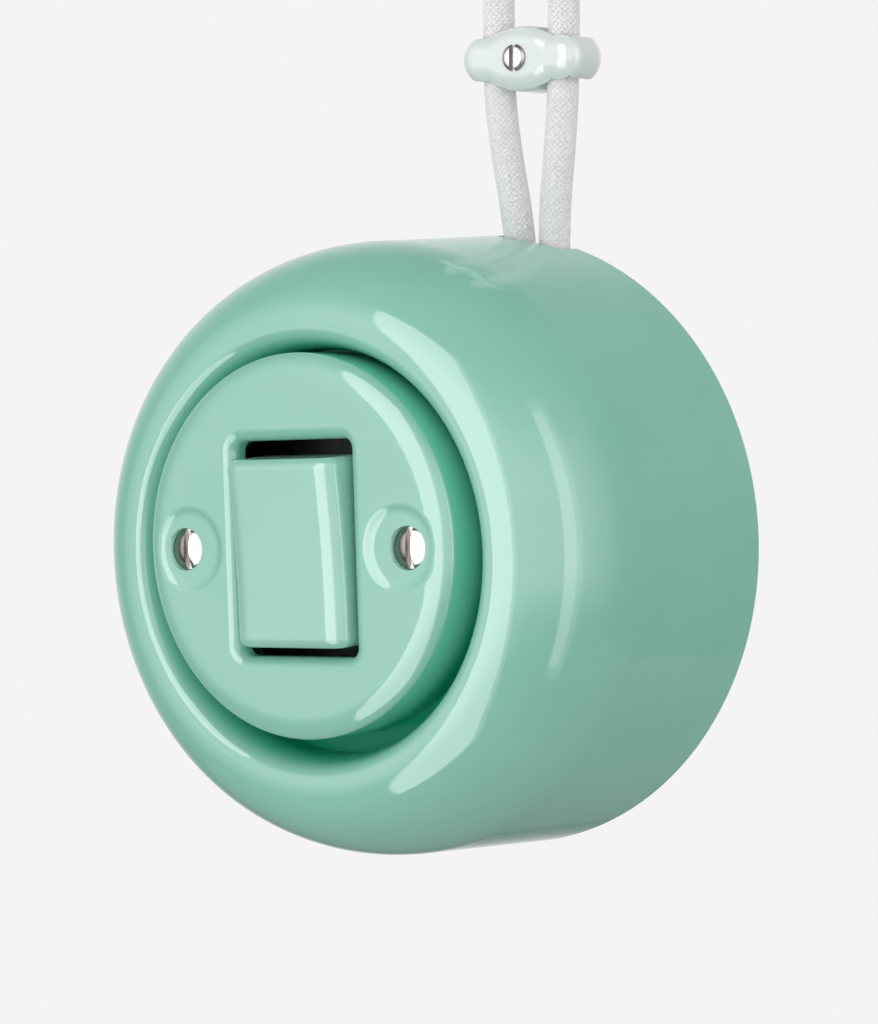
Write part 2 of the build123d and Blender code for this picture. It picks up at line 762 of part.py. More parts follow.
# Countersunk screws from behind the plate into the pillars
with BuildPart() as pillar_screws:
    for x, z in pillar_places:
        with Locations(facing(sink_depth / 2)):
            with Locations((x, z)):
                Cone(sink_radius, machine_screw_diameter / 2, sink_depth)
    with BuildSketch(facing(sink_depth)):
        with Locations(*pillar_places):
            Circle(machine_screw_diameter / 2)
    extrude(amount=pillar_screw_length - sink_depth)
    with BuildSketch(facing(0)):
        with Locations(*pillar_places):
            Rectangle(machine_slot_width, countersunk_head_diameter)
    extrude(amount=machine_slot_depth, mode=Mode.SUBTRACT)
save(pillar_screws.part, "pillar_screws")


def cable(points):
    """A textile cable as a plain round tube along its route."""
    route = cable_route(points)
    radii = corner_radii(route)
    print("cable bend radii", [round(radius, 1) for radius in radii])
    with BuildPart() as tube:
        with BuildLine():
            path = FilletPolyline(*route, radius=radii)
        with BuildSketch(Plane(origin=path @ 0, z_dir=path % 0)):
            Circle(cable_diameter / 2)
        sweep(path=path)
    swept = pi * cable_diameter**2 / 4 * path.length
    print("cable length", round(path.length, 2), "volume ratio", round(tube.part.volume / swept, 4))
    return tube.part


def conductor(points):
    """The bared end of a cable's conductor, standing on the cable's upper end."""
    below, end = cable_route(points)[-2:]
    along = Vector(*end) - Vector(*below)
    with BuildPart() as rod:
        with BuildSketch(Plane(origin=end, z_dir=along)):
            Circle(conductor_diameter / 2)
        extrude(amount=conductor_length)
    return rod.part


save(cable(cable_left_points), "cable_left")
save(cable(cable_right_points), "cable_right")
save(conductor(cable_left_points), "conductor_left")
save(conductor(cable_right_points), "conductor_right")


def straight_on(points):
    """The point where a core has run straight on from the inner end of its cable."""
    start, after = (Vector(*point) for point in cable_route(points)[:2])
    return tuple(start + (start - after).normalized() * wire_drop)


def wire(route, side, up):
    """An insulated core along its route, with a bared end that reaches into a terminal's bore."""
    bore_height = mechanism_lift + up
    entry = block_width / 2 + part_clearance
    path_points = [*route, (side * entry, -wire_bore_depth, bore_height)]
    with BuildPart() as core:
        with BuildLine():
            path = FilletPolyline(*path_points, radius=wire_bend)
        with BuildSketch(Plane(origin=path @ 0, z_dir=path % 0)):
            Circle(wire_diameter / 2)
        sweep(path=path)
        with BuildSketch(sideways(wire_bore_depth, height=bore_height, right=side * entry)):
            Circle(conductor_diameter / 2)
        extrude(amount=side * (entry - terminal_x + terminal_width / 4))
    return core.part


wire_out = block_width / 2 + 2 * wire_bend
wire_left_route = [
    cable_route(cable_left_points)[0],
    straight_on(cable_left_points),
    (wire_left_turn[0], -wire_lane_depth, wire_left_turn[1]),
    (wire_left_cross[0], -wire_lane_depth, wire_left_cross[1]),
    (-wire_out, -block_back_depth, mechanism_lift + wire_rise),
    (-wire_out, -wire_bore_depth, mechanism_lift),
]
wire_right_route = [
    cable_route(cable_right_points)[0],
    straight_on(cable_right_points),
    (wire_right_turn[0], -wire_lane_depth, wire_right_turn[1]),
    (wire_out, -block_back_depth, mechanism_lift + contact_reach + wire_rise),
    (wire_out, -wire_bore_depth, mechanism_lift + contact_reach),
]
save(wire(wire_left_route, -1, 0.0), "wire_left")
save(wire(wire_right_route, 1, contact_reach), "wire_right")

# The cable grip: a bar on two feet, with a round channel for each cable
grip_front_depth = cable_depth + cable_diameter / 2 + cable_clearance + grip_bar
with BuildPart() as cable_grip:
    with BuildSketch(facing(plate_thickness, height=0)):
        with Locations((grip_offset, grip_height)):
            RectangleRounded(grip_length, grip_width, grip_width / 3)
    extrude(amount=grip_front_depth - plate_thickness)
    with BuildSketch(facing(plate_thickness, height=0)):
        with Locations((grip_offset, grip_height)):
            Rectangle(plate_notch_width, grip_width)
    extrude(amount=grip_front_depth - grip_bar - plate_thickness, mode=Mode.SUBTRACT)
    with BuildSketch(facing(plate_thickness)):
        with Locations(*grip_places):
            Circle(grip_screw_diameter / 2)
    extrude(amount=grip_front_depth, mode=Mode.SUBTRACT)
save(cable_grip.part, "cable_grip")

with BuildPart() as grip_screws:
    with BuildSketch(facing(grip_front_depth - grip_screw_length)):
        with Locations(*grip_places):
            Circle(grip_screw_diameter / 2)
    extrude(amount=grip_screw_length)
    with BuildSketch(facing(grip_front_depth)):
        with Locations(*grip_places):
            Circle(grip_head_diameter / 2)
    extrude(amount=grip_head_height)
    with BuildSketch(facing(grip_front_depth + grip_head_height)):
        with Locations(*grip_places):
            Rectangle(machine_slot_width, grip_head_diameter)
    extrude(amount=-grip_head_height / 2, mode=Mode.SUBTRACT)
save(grip_screws.part, "grip_screws")

# The cleat: a rounded bar, wider at its middle, with a groove behind each end for a cable
cleat_plane = Plane(
    origin=(cleat_offset, 0, cleat_height),
    x_dir=(cos(radians(cleat_tilt)), 0, -sin(radians(cleat_tilt))),
    z_dir=(0, -1, 0),
)


def cable_across(points):
    """Where a cable crosses the cleat's middle, measured along the cleat."""
    for (x, z), (next_x, next_z) in zip(points, points[1:]):
        if z <= cleat_height <= next_z:
            crossing = x + (next_x - x) * (cleat_height - z) / (next_z - z)
    return (crossing - cleat_offset) / cos(radians(cleat_tilt))


groove_places = [(cable_across(cable_left_points), 0), (cable_across(cable_right_points), 0)]
with BuildPart() as cleat:
    with BuildSketch(cleat_plane):
        SlotOverall(cleat_length, cleat_lobe)
        Ellipse(cleat_waist_length / 2, cleat_waist / 2)
    extrude(amount=cleat_depth)
    fillet(cleat.faces().sort_by(Axis.Y)[0].edges(), cleat_round)
    with BuildSketch(cleat_plane):
        with Locations(*groove_places):
            Rectangle(cleat_groove, cleat_waist)
    extrude(amount=cleat_groove_depth, mode=Mode.SUBTRACT)
    with BuildSketch(cleat_plane):
        Circle(cleat_screw_diameter / 2)
    extrude(amount=cleat_depth, mode=Mode.SUBTRACT)
    with BuildSketch(cleat_plane.offset(cleat_depth)):
        Circle(cleat_head_diameter / 2)
    extrude(amount=-cleat_head_sink, mode=Mode.SUBTRACT)
save(cleat.part, "cleat")

# The cleat's slotted screw, cut off at the wall
cleat_seat = cleat_depth - cleat_head_sink
with BuildPart() as cleat_screw:
    with BuildSketch(cleat_plane.offset(cleat_screw_back)):
        Circle(cleat_screw_diameter / 2)
    extrude(amount=cleat_seat - cleat_screw_back)
    with BuildSketch(cleat_plane.offset(cleat_seat)):
        Circle(cleat_head_diameter / 2)
    extrude(amount=2 * cleat_head_sink)
    fillet(cleat_screw.faces().sort_by(Axis.Y)[0].edges(), cleat_head_sink)
    with BuildSketch(cleat_plane.offset(cleat_seat + 2 * cleat_head_sink)):
        Rectangle(cleat_slot_width, cleat_head_diameter)
    extrude(amount=-cleat_slot_depth, mode=Mode.SUBTRACT)
save(cleat_screw.part, "cleat_screw")
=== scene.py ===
"""Looks of a round surface-mounted rocker switch in mint-glazed porcelain.

Two braided cables run down the wall into the switch, and a small cleat holds them. Lengths are in metres.
"""

from collections import namedtuple
from math import cos, pi, radians, sin

import bmesh
import bpy
from bpy.props import FloatProperty, FloatVectorProperty, IntProperty, PointerProperty
from bpy.types import Operator, Panel, PropertyGroup
from mathutils import Matrix, Vector


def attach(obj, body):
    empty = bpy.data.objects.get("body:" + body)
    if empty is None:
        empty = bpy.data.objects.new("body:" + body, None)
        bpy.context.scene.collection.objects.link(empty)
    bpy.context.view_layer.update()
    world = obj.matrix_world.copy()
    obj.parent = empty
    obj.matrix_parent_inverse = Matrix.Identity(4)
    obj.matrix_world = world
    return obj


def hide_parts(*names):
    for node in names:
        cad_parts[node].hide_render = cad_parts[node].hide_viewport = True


bl_info = {
    "name": "Porcelain wall switch",
    "version": (1, 0, 0),
    "blender": (4, 5, 0),
    "location": "3D View > Sidebar > Wall Switch",
    "description": "Dresses the packed wall switch with its glaze, metalwork, braided cables and stage",
    "category": "Object",
}

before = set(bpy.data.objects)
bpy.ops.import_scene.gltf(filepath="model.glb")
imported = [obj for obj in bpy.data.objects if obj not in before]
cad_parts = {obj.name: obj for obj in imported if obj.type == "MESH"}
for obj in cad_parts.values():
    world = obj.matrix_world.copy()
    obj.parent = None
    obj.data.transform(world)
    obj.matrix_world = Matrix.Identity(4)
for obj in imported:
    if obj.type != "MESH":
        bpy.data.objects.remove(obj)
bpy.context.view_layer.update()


def front(name):
    """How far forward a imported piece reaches: its lowest Y."""
    return min(corner[1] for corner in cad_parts[name].bound_box)


# Shared values: two fronts, a unit, and the range of a noise that makes a full blend
LIP_FRONT = front("housing")
INSERT_FRONT = front("front_insert")
MILLIMETRES = 1000.0
SOFT_RANGE = (0.3, 0.7)

# Cables: points of each route, across and up the wall, as in the part's source
CABLE_DEPTH = 0.0029
CABLE_ROUTES = {
    "left": [(0.0081, 0.0310), (0.0083, 0.0465), (0.0043, 0.0690), (0.0046, 0.0840), (0.0052, 0.0970)],
    "right": [(0.0146, 0.0310), (0.0136, 0.0465), (0.0169, 0.0695), (0.0175, 0.0840), (0.0183, 0.0965)],
}
STEPS_ALONG = 90
STEPS_AROUND = 32

# Braid: strands swing over and under each other, and fine fibres run along them
STRAND_FLATNESS = 0.6
STRAND_MIDDLE = 0.55
STRAND_SWING = 0.45
GAP_RANGE = (0.0, 0.6)
GAP_SHADE = 0.86
YARN_ROUGHNESS = 0.85
YARN_SHEEN = 0.25
FIBRE_WIDTH_MM = 0.16
FIBRE_SHARE = 0.35
FIBRE_HEIGHT = 0.00004
FUZZ_SCALE = 900.0
FUZZ_SHADE = 0.93

# Glaze: it ends in a bare foot at the wall
GLAZE_ROUGHNESS = 0.07
GLAZE_IOR = 1.52
MOTTLE_SCALE = 45.0
THIN_SHARE = 1.05
WAVE_SCALE = 120.0
WAVE_HEIGHT = 0.00002
FOOT_EDGE = (-0.0008, -0.0005)
FOOT_ROUGHNESS = 0.7

# Painted shade in the housing's recess, which fades out with the distance from the axis, and painted light
# on the insert's wall; both come in with the depth
HOUSING_SHADE_RADIUS = (0.0316, 0.0334)
HOUSING_SHADE_DEPTH = (LIP_FRONT - 0.0013, LIP_FRONT + 0.0002)
INSERT_LIT_WALL_DEPTH = (INSERT_FRONT + 0.00135, INSERT_FRONT + 0.00255)
# Painted shade at the bottom of the recess: a darker colour and a duller gloss, on the housing and the
# insert
BOTTOM_SHADE_DEPTH = (LIP_FRONT + 0.0037, LIP_FRONT + 0.0072)
BOTTOM_SHADE_SHARES = (0.10, 0.75, 0.65)
BOTTOM_SHADE_SPECULAR = (0.5, 0.05)

# Metal: stains, and fine marks that run one way
STAIN_SCALE = 350.0
STAIN_RANGE = (0.3, 0.75)
STAIN_SHADE = 0.86
MARK_SCALE = 2500.0
MARK_STRETCH = (1.0, 1.0, 0.06)
MARK_RANGE = (0.25, 0.75)
MARK_ROUGHNESS = (0.7, 1.3)
MARK_HEIGHT = 0.000006

# Mouldings and insulation
MOULDING_IOR = 1.5
CLOUD_SCALE = 140.0
CLOUD_SHARE = 1.12
GRAIN_SCALE = 1800.0
GRAIN_ROUGHNESS = (0.85, 1.15)
GRAIN_HEIGHT = 0.00002

# Lamps: angles in degrees from the front. The key lights colours, and the others show in the gloss alone
Lamp = namedtuple("Lamp", "name azimuth elevation distance width height radiance diffuse", defaults=[False])
LAMPS = (
    Lamp("key", 4.0, -6.0, 1.3, 2.4, 2.4, 0.42, diffuse=True),
    Lamp("soft_wall", -7.0, -2.0, 0.9, 0.67, 2.3, 3.2),
    Lamp("soft_wall_edge", -4.0, -2.0, 0.95, 0.83, 2.6, 1.7),
    Lamp("strip", 84.0, 2.0, 0.8, 0.15, 1.35, 1.7),
    Lamp("strip_edge", 86.5, 2.0, 0.85, 0.24, 1.65, 1.0),
)

# Glow in reflections: it rises between two cosines round an azimuth, times a share for each height
Lobe = namedtuple("Lobe", "azimuth low high")
FRONT_LOBE = Lobe(28.0, -0.15, 0.45)
BACKDROP_LOBE = Lobe(216.0, 0.45, 0.85)
BACKDROP_GLOW = 0.8
LEAST_GLOW = 0.1
LOBE_ELEVATION = 5.0
GLOW_BY_HEIGHT = ((0.27, 0.15), (0.45, 1.0), (0.65, 1.0), (0.96, 0.1))

# Floor: it fades into the backdrop between two shares of its radius
FLOOR_SIDES = 96
FLOOR_GREY = (0.5, 0.5, 0.5, 1.0)
FLOOR_ROUGHNESS = 0.9
FLOOR_FADE = (0.5, 0.95)
FLOOR_PALENESS = (0.6, 1.0)

CAMERA_CLIP = 0.01
UP = Vector((0.0, 0.0, 1.0))


def angle_property(name, description, degrees):
    return FloatProperty(name=name, description=description, default=radians(degrees), subtype="ANGLE")


def colour_property(name, description, default):
    return FloatVectorProperty(
        name=name, description=description, default=default, subtype="COLOR", min=0.0, max=1.0, size=3
    )


def length_property(name, description, default):
    return FloatProperty(name=name, description=description, default=default, unit="LENGTH", precision=5)


def level_property(name, description, default, most=10.0):
    return FloatProperty(name=name, description=description, default=default, min=0.0, max=most)


class WallSwitchStage(PropertyGroup):
    azimuth: angle_property("Azimuth", "Camera's turn to the right of the front", 36.07)
    elevation: angle_property("Elevation", "Camera's height above the horizon", 1.9)
    roll: angle_property("Roll", "Turn of the picture, anticlockwise", 1.85)
    distance: length_property("Distance", "Camera's distance from the middle of the back", 0.5938)
    lens: FloatProperty(name="Lens", description="Focal length in millimetres", default=126.56, min=1.0)
    aim: FloatVectorProperty(
        name="Aim", description="Point in the middle of the picture", default=(-0.00848, -0.00597, 0.00480),
        unit="LENGTH", size=3,
    )
    backdrop: colour_property("Backdrop", "Pale ground behind the switch", (0.9046, 0.9046, 0.9046))
    ambient: level_property("Ambient", "Strength of the even light", 0.88)
    glow: level_property("Glow", "Strength of the front's glow in reflections", 2.7)
    mirrored: level_property(
        "Mirrored floor", "Share of the floor's paleness in reflections", 0.25, most=1.0
    )
    floor_drop: length_property("Floor drop", "Height of the floor below the wall face's middle", 1.25)
    floor_radius: length_property("Floor radius", "Size of the floor", 2.5)


class WallSwitchCables(PropertyGroup):
    diameter: length_property("Diameter", "Width over the braid", 0.0052)
    carriers: IntProperty(
        name="Carriers", description="Strands of the braid in each direction", default=16, min=4
    )
    lay: length_property("Lay", "Length in which a strand goes once round", 0.015)
    relief: length_property("Relief", "Height of a strand over the gap", 0.00012)
    yarn: colour_property("Yarn", "Colour of the braid", (0.99, 0.965, 0.97))


class WallSwitchFinishes(PropertyGroup):
    mint: colour_property("Mint glaze", "Housing and insert", (0.245, 0.530, 0.424))
    mint_thin: colour_property("Thin mint glaze", "Glaze where it runs thin", (0.260, 0.548, 0.442))
    mint_light: colour_property("Light mint glaze", "Rocker", (0.295, 0.565, 0.465))
    # Painted shade: the recess's colour, darker and more saturated than the glaze
    mint_painted_shade: colour_property("Mint glaze with painted shade", "Painted shade in the recess", (0.080, 0.430, 0.300))
    # Painted light: the insert's wall lighter than the glaze, standing in for the lamps' light that falls
    # on it
    mint_painted_light: colour_property("Mint glaze with painted light", "Painted light on the insert's wall", (0.170, 0.620, 0.460))
    pale: colour_property("Pale glaze", "Cleat", (0.700, 0.755, 0.732))
    bisque: colour_property("Bisque", "Unglazed foot of the porcelain", (0.80, 0.78, 0.74))
    nickel: colour_property("Nickel", "Cover screws", (0.40, 0.37, 0.36))
    satin_nickel: colour_property("Satin nickel", "Cleat's screw", (0.32, 0.31, 0.31))
    zinc: colour_property("Zinc", "Inner screws, the contact's pin and the spring", (0.42, 0.43, 0.45))
    # Painted shade on a black steel finish: near-black, so that the frame shows as the shade deep in the
    # gaps
    painted_shade_black: colour_property("Black steel as painted shade", "Frame, its screws and the pins", (0.030, 0.031, 0.033))
    brass: colour_property("Brass", "Pillars, terminals and contacts", (0.72, 0.50, 0.20))
    copper: colour_property("Copper", "Bared conductors", (0.80, 0.42, 0.26))
    black_moulding: colour_property("Black moulding", "Mechanism block", (0.012, 0.012, 0.013))
    white_moulding: colour_property("White moulding", "Base plate, grip and plunger", (0.72, 0.71, 0.68))
    brown_core: colour_property("Brown core", "One core's insulation", (0.10, 0.040, 0.018))
    black_core: colour_property("Black core", "Other core's insulation", (0.016, 0.016, 0.017))


class Graph:
    """A node tree, with helpers for the nodes that the looks need."""

    def __init__(self, tree):
        self.nodes = tree.nodes
        self.links = tree.links

    def plug(self, source, target):
        """Feed a socket from another one, or set it to a value."""
        if hasattr(source, "links"):
            self.links.new(source, target)
        else:
            target.default_value = source

    def add(self, kind, *sources, **settings):
        """A new node with its settings, its first sockets fed from the sources."""
        node = self.nodes.new("ShaderNode" + kind)
        for name, value in settings.items():
            setattr(node, name, value)
        for source, socket in zip(sources, node.inputs):
            self.plug(source, socket)
        return node

    def maths(self, operation, first, second=0.0):
        return self.add("Math", first, second, operation=operation).outputs[0]

    def measure(self, operation, *vectors):
        """A number from vectors, such as a length or a dot product."""
        return self.add("VectorMath", *vectors, operation=operation).outputs["Value"]

    def axis(self, source, name):
        return self.add("SeparateXYZ", source).outputs[name]

    def span(self, source, low, high, to_low=0.0, to_high=1.0, shape="SMOOTHSTEP"):
        """Carry the range from low to high over to another one, and hold it at the ends."""
        node = self.add("MapRange", source, low, high, to_low, to_high, interpolation_type=shape)
        return node.outputs["Result"]

    def blend(self, share, first, second):
        """A colour between two colours."""
        node = self.add("Mix", share, data_type="RGBA")
        for source, socket in ((first, node.inputs[6]), (second, node.inputs[7])):
            self.plug(source if hasattr(source, "links") else (*source, 1.0), socket)
        return node.outputs[2]


class Finish(Graph):
    """One procedural material on object coordinates."""

    def __init__(self, name, **sockets):
        self.material = bpy.data.materials.new(name)
        self.material.use_nodes = True
        super().__init__(self.material.node_tree)
        self.shader = self.nodes["Principled BSDF"]
        self.place = self.add("TexCoord").outputs["Object"]
        for socket, value in sockets.items():
            self.feed(socket.replace("_", " "), value)

    def feed(self, socket, source):
        self.plug(source, self.shader.inputs[socket])

    def noise(self, scale, detail=2.0, stretch=(1.0, 1.0, 1.0)):
        mapping = self.add("Mapping", self.place)
        mapping.inputs["Scale"].default_value = stretch
        node = self.add("TexNoise", mapping.outputs[0])
        node.inputs["Scale"].default_value = scale
        node.inputs["Detail"].default_value = detail
        return node.outputs["Fac"]

    def radius(self):
        """Distance from the switch's axis."""
        across = self.add("VectorMath", self.place, (1.0, 0.0, 1.0), operation="MULTIPLY")
        return self.measure("LENGTH", across.outputs["Vector"])

    def emboss(self, height, distance):
        node = self.add("Bump")
        node.inputs["Strength"].default_value = 1.0
        node.inputs["Distance"].default_value = distance
        self.plug(height, node.inputs["Height"])
        self.feed("Normal", node.outputs[0])


PaintedLightAndShade = namedtuple("PaintedLightAndShade", "colour depth radius", defaults=[None])


def scaled(colour, share):
    return [min(1.0, share * part) for part in colour]


def paint_light_and_shade(finish, colour, depth, light_and_shade):
    """A glaze with a painted tone behind its front (painted shade in the recess, painted light on the
    insert's wall), and painted shade, darker and duller, at the bottom of the recess.
    """
    within = finish.span(finish.radius(), *light_and_shade.radius, 1.0, 0.0) if light_and_shade.radius else 1.0
    painted_share = finish.maths("MULTIPLY", within, finish.span(depth, *light_and_shade.depth))
    # Painted shade at the bottom of the recess: a darker colour and less gloss
    bottom = finish.maths("MULTIPLY", within, finish.span(depth, *BOTTOM_SHADE_DEPTH))
    shaded = [share * part for share, part in zip(BOTTOM_SHADE_SHARES, light_and_shade.colour)]
    finish.feed("Specular IOR Level", finish.span(bottom, 0.0, 1.0, *BOTTOM_SHADE_SPECULAR))
    return finish.blend(bottom, finish.blend(painted_share, colour, light_and_shade.colour), shaded)


def glaze(name, deep, thin, bisque=None, light_and_shade=None):
    """A glossy opaque glaze, slightly mottled and wavy, that may carry painted light and shade behind its
    front and bare a foot.
    """
    finish = Finish(name, Roughness=GLAZE_ROUGHNESS, IOR=GLAZE_IOR)
    depth = finish.axis(finish.place, "Y")
    colour = finish.blend(finish.span(finish.noise(MOTTLE_SCALE), *SOFT_RANGE), deep, thin)
    if light_and_shade:
        colour = paint_light_and_shade(finish, colour, depth, light_and_shade)
    if bisque:
        colour = finish.blend(finish.span(depth, *FOOT_EDGE), colour, bisque)
        finish.feed("Roughness", finish.span(depth, *FOOT_EDGE, GLAZE_ROUGHNESS, FOOT_ROUGHNESS))
    finish.feed("Base Color", colour)
    finish.emboss(finish.noise(WAVE_SCALE, detail=1.0), WAVE_HEIGHT)
    return finish.material


def plated(name, colour, roughness):
    """A turned or rolled metal with fine marks and a little staining."""
    finish = Finish(name, Metallic=1.0)
    stain = finish.span(finish.noise(STAIN_SCALE, detail=4.0), *STAIN_RANGE)
    finish.feed("Base Color", finish.blend(stain, colour, scaled(colour, STAIN_SHADE)))
    marks = finish.noise(MARK_SCALE, detail=3.0, stretch=MARK_STRETCH)
    least, most = (share * roughness for share in MARK_ROUGHNESS)
    finish.feed("Roughness", finish.span(marks, *MARK_RANGE, least, most))
    finish.emboss(marks, MARK_HEIGHT)
    return finish.material


def moulded(name, colour, roughness):
    """A pressed thermoset or extruded insulation, faintly grained."""
    finish = Finish(name, IOR=MOULDING_IOR)
    cloud = finish.span(finish.noise(CLOUD_SCALE, detail=4.0), *SOFT_RANGE)
    finish.feed("Base Color", finish.blend(cloud, colour, scaled(colour, CLOUD_SHARE)))
    grain = finish.noise(GRAIN_SCALE)
    least, most = (share * roughness for share in GRAIN_ROUGHNESS)
    finish.feed("Roughness", finish.span(grain, *SOFT_RANGE, least, most))
    finish.emboss(grain, GRAIN_HEIGHT)
    return finish.material


def braided(name, colour):
    """Yarn strands: fine fibres along each strand, and shade in the gaps between strands."""
    finish = Finish(name, Roughness=YARN_ROUGHNESS, Sheen_Weight=YARN_SHEEN)
    height = finish.add("Attribute", attribute_name="braid_height").outputs["Fac"]
    turn = finish.add("Attribute", attribute_name="braid_turn").outputs["Fac"]
    lay = finish.add("UVMap", uv_map="braid_lay").outputs["UV"]
    slant = finish.maths("MULTIPLY", finish.axis(lay, "X"), turn)
    across = finish.maths("ADD", finish.axis(lay, "Y"), slant)
    fibres = finish.maths("SINE", finish.maths("MULTIPLY", across, 2 * pi / FIBRE_WIDTH_MM))
    fuzz = finish.noise(FUZZ_SCALE, detail=3.0)
    yarn = finish.blend(finish.span(fuzz, *SOFT_RANGE), colour, scaled(colour, FUZZ_SHADE))
    strand = finish.span(height, *GAP_RANGE)
    finish.feed("Base Color", finish.blend(strand, scaled(colour, GAP_SHADE), yarn))
    finish.emboss(finish.maths("ADD", finish.maths("MULTIPLY", fibres, FIBRE_SHARE), fuzz), FIBRE_HEIGHT)
    return finish.material


def coat(material, *names):
    """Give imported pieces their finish."""
    for name in names:
        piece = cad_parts[name]
        piece.data.materials.clear()
        piece.data.materials.append(material)


def show(mesh, name, material):
    """A new piece on the fixed body, at the origin."""
    mesh.materials.clear()
    mesh.materials.append(material)
    piece = bpy.data.objects.new(name, mesh)
    bpy.context.scene.collection.objects.link(piece)
    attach(piece, "base")
    return piece


def as_mesh(curve):
    """The mesh that a curve makes."""
    holder = bpy.data.objects.new(curve.name, curve)
    bpy.context.scene.collection.objects.link(holder)
    mesh = bpy.data.meshes.new_from_object(holder.evaluated_get(bpy.context.evaluated_depsgraph_get()))
    bpy.data.objects.remove(holder)
    return mesh


def cable_curve(name, route):
    """A cable's centre line, smooth through its route."""
    curve = bpy.data.curves.new(name, "CURVE")
    curve.dimensions = "3D"
    spline = curve.splines.new("NURBS")
    spline.points.add(len(route) - 1)
    for point, (across, up) in zip(spline.points, route):
        point.co = (across, -CABLE_DEPTH, up, 1.0)
    spline.order_u = 3
    spline.use_endpoint_u = True
    spline.resolution_u = STEPS_ALONG
    return curve


def braid_height(turns, along, carriers, lay):
    """Height of the braid's surface from 0 to 1, and the way that the strand on top turns, 1 or -1."""
    first = sin(pi * (carriers * (turns + along / lay)))
    second = sin(pi * (carriers * (turns - along / lay)))
    over = first * second
    rise = abs(first) ** STRAND_FLATNESS * (STRAND_MIDDLE + STRAND_SWING * over)
    fall = abs(second) ** STRAND_FLATNESS * (STRAND_MIDDLE - STRAND_SWING * over)
    return (rise, 1.0) if rise > fall else (fall, -1.0)


def running_lengths(centre):
    """Length along a line up to each of its points."""
    lengths = [0.0]
    for before, point in zip(centre, centre[1:]):
        lengths.append(lengths[-1] + (point - before).length)
    return lengths


def braid(mesh, centre, radius, carriers, lay, relief):
    """Raise a tube's strands and note the height, the turn and the lay of each point."""
    lengths = running_lengths(centre)
    count = len(mesh.vertices) // len(centre)
    work = bmesh.new()
    work.from_mesh(mesh)
    work.verts.ensure_lookup_table()
    height_layer = work.verts.layers.float.new("braid_height")
    turn_layer = work.verts.layers.float.new("braid_turn")
    lay_layer = work.loops.layers.uv.new("braid_lay")
    for point in work.verts:
        ring, step = divmod(point.index, count)
        height, turn = braid_height(step / count, lengths[ring], carriers, lay)
        outward = (point.co - centre[ring]).normalized()
        point.co = centre[ring] + outward * (radius - relief * (1.0 - height))
        point[height_layer] = height
        point[turn_layer] = turn
    for face in work.faces:
        steps = [loop.vert.index % count for loop in face.loops]
        for loop, step in zip(face.loops, steps):
            wrapped = step + count if max(steps) - min(steps) > 1 and step == 0 else step
            along = MILLIMETRES * lengths[loop.vert.index // count]
            around = 2 * MILLIMETRES * pi * radius * wrapped / count
            loop[lay_layer].uv = (along, around)
    for rim in (work.verts[:count], work.verts[-count:]):
        edges = {edge for point in rim for edge in point.link_edges if len(edge.link_faces) == 1}
        bmesh.ops.edgeloop_fill(work, edges=list(edges))
    bmesh.ops.recalc_face_normals(work, faces=work.faces)
    for face in work.faces:
        face.smooth = len(face.verts) == 4
    work.to_mesh(mesh)
    work.free()


def direction(azimuth, elevation):
    """Unit vector to the right of the front by the azimuth and up by the elevation."""
    return Vector((sin(azimuth) * cos(elevation), -cos(azimuth) * cos(elevation), sin(elevation)))


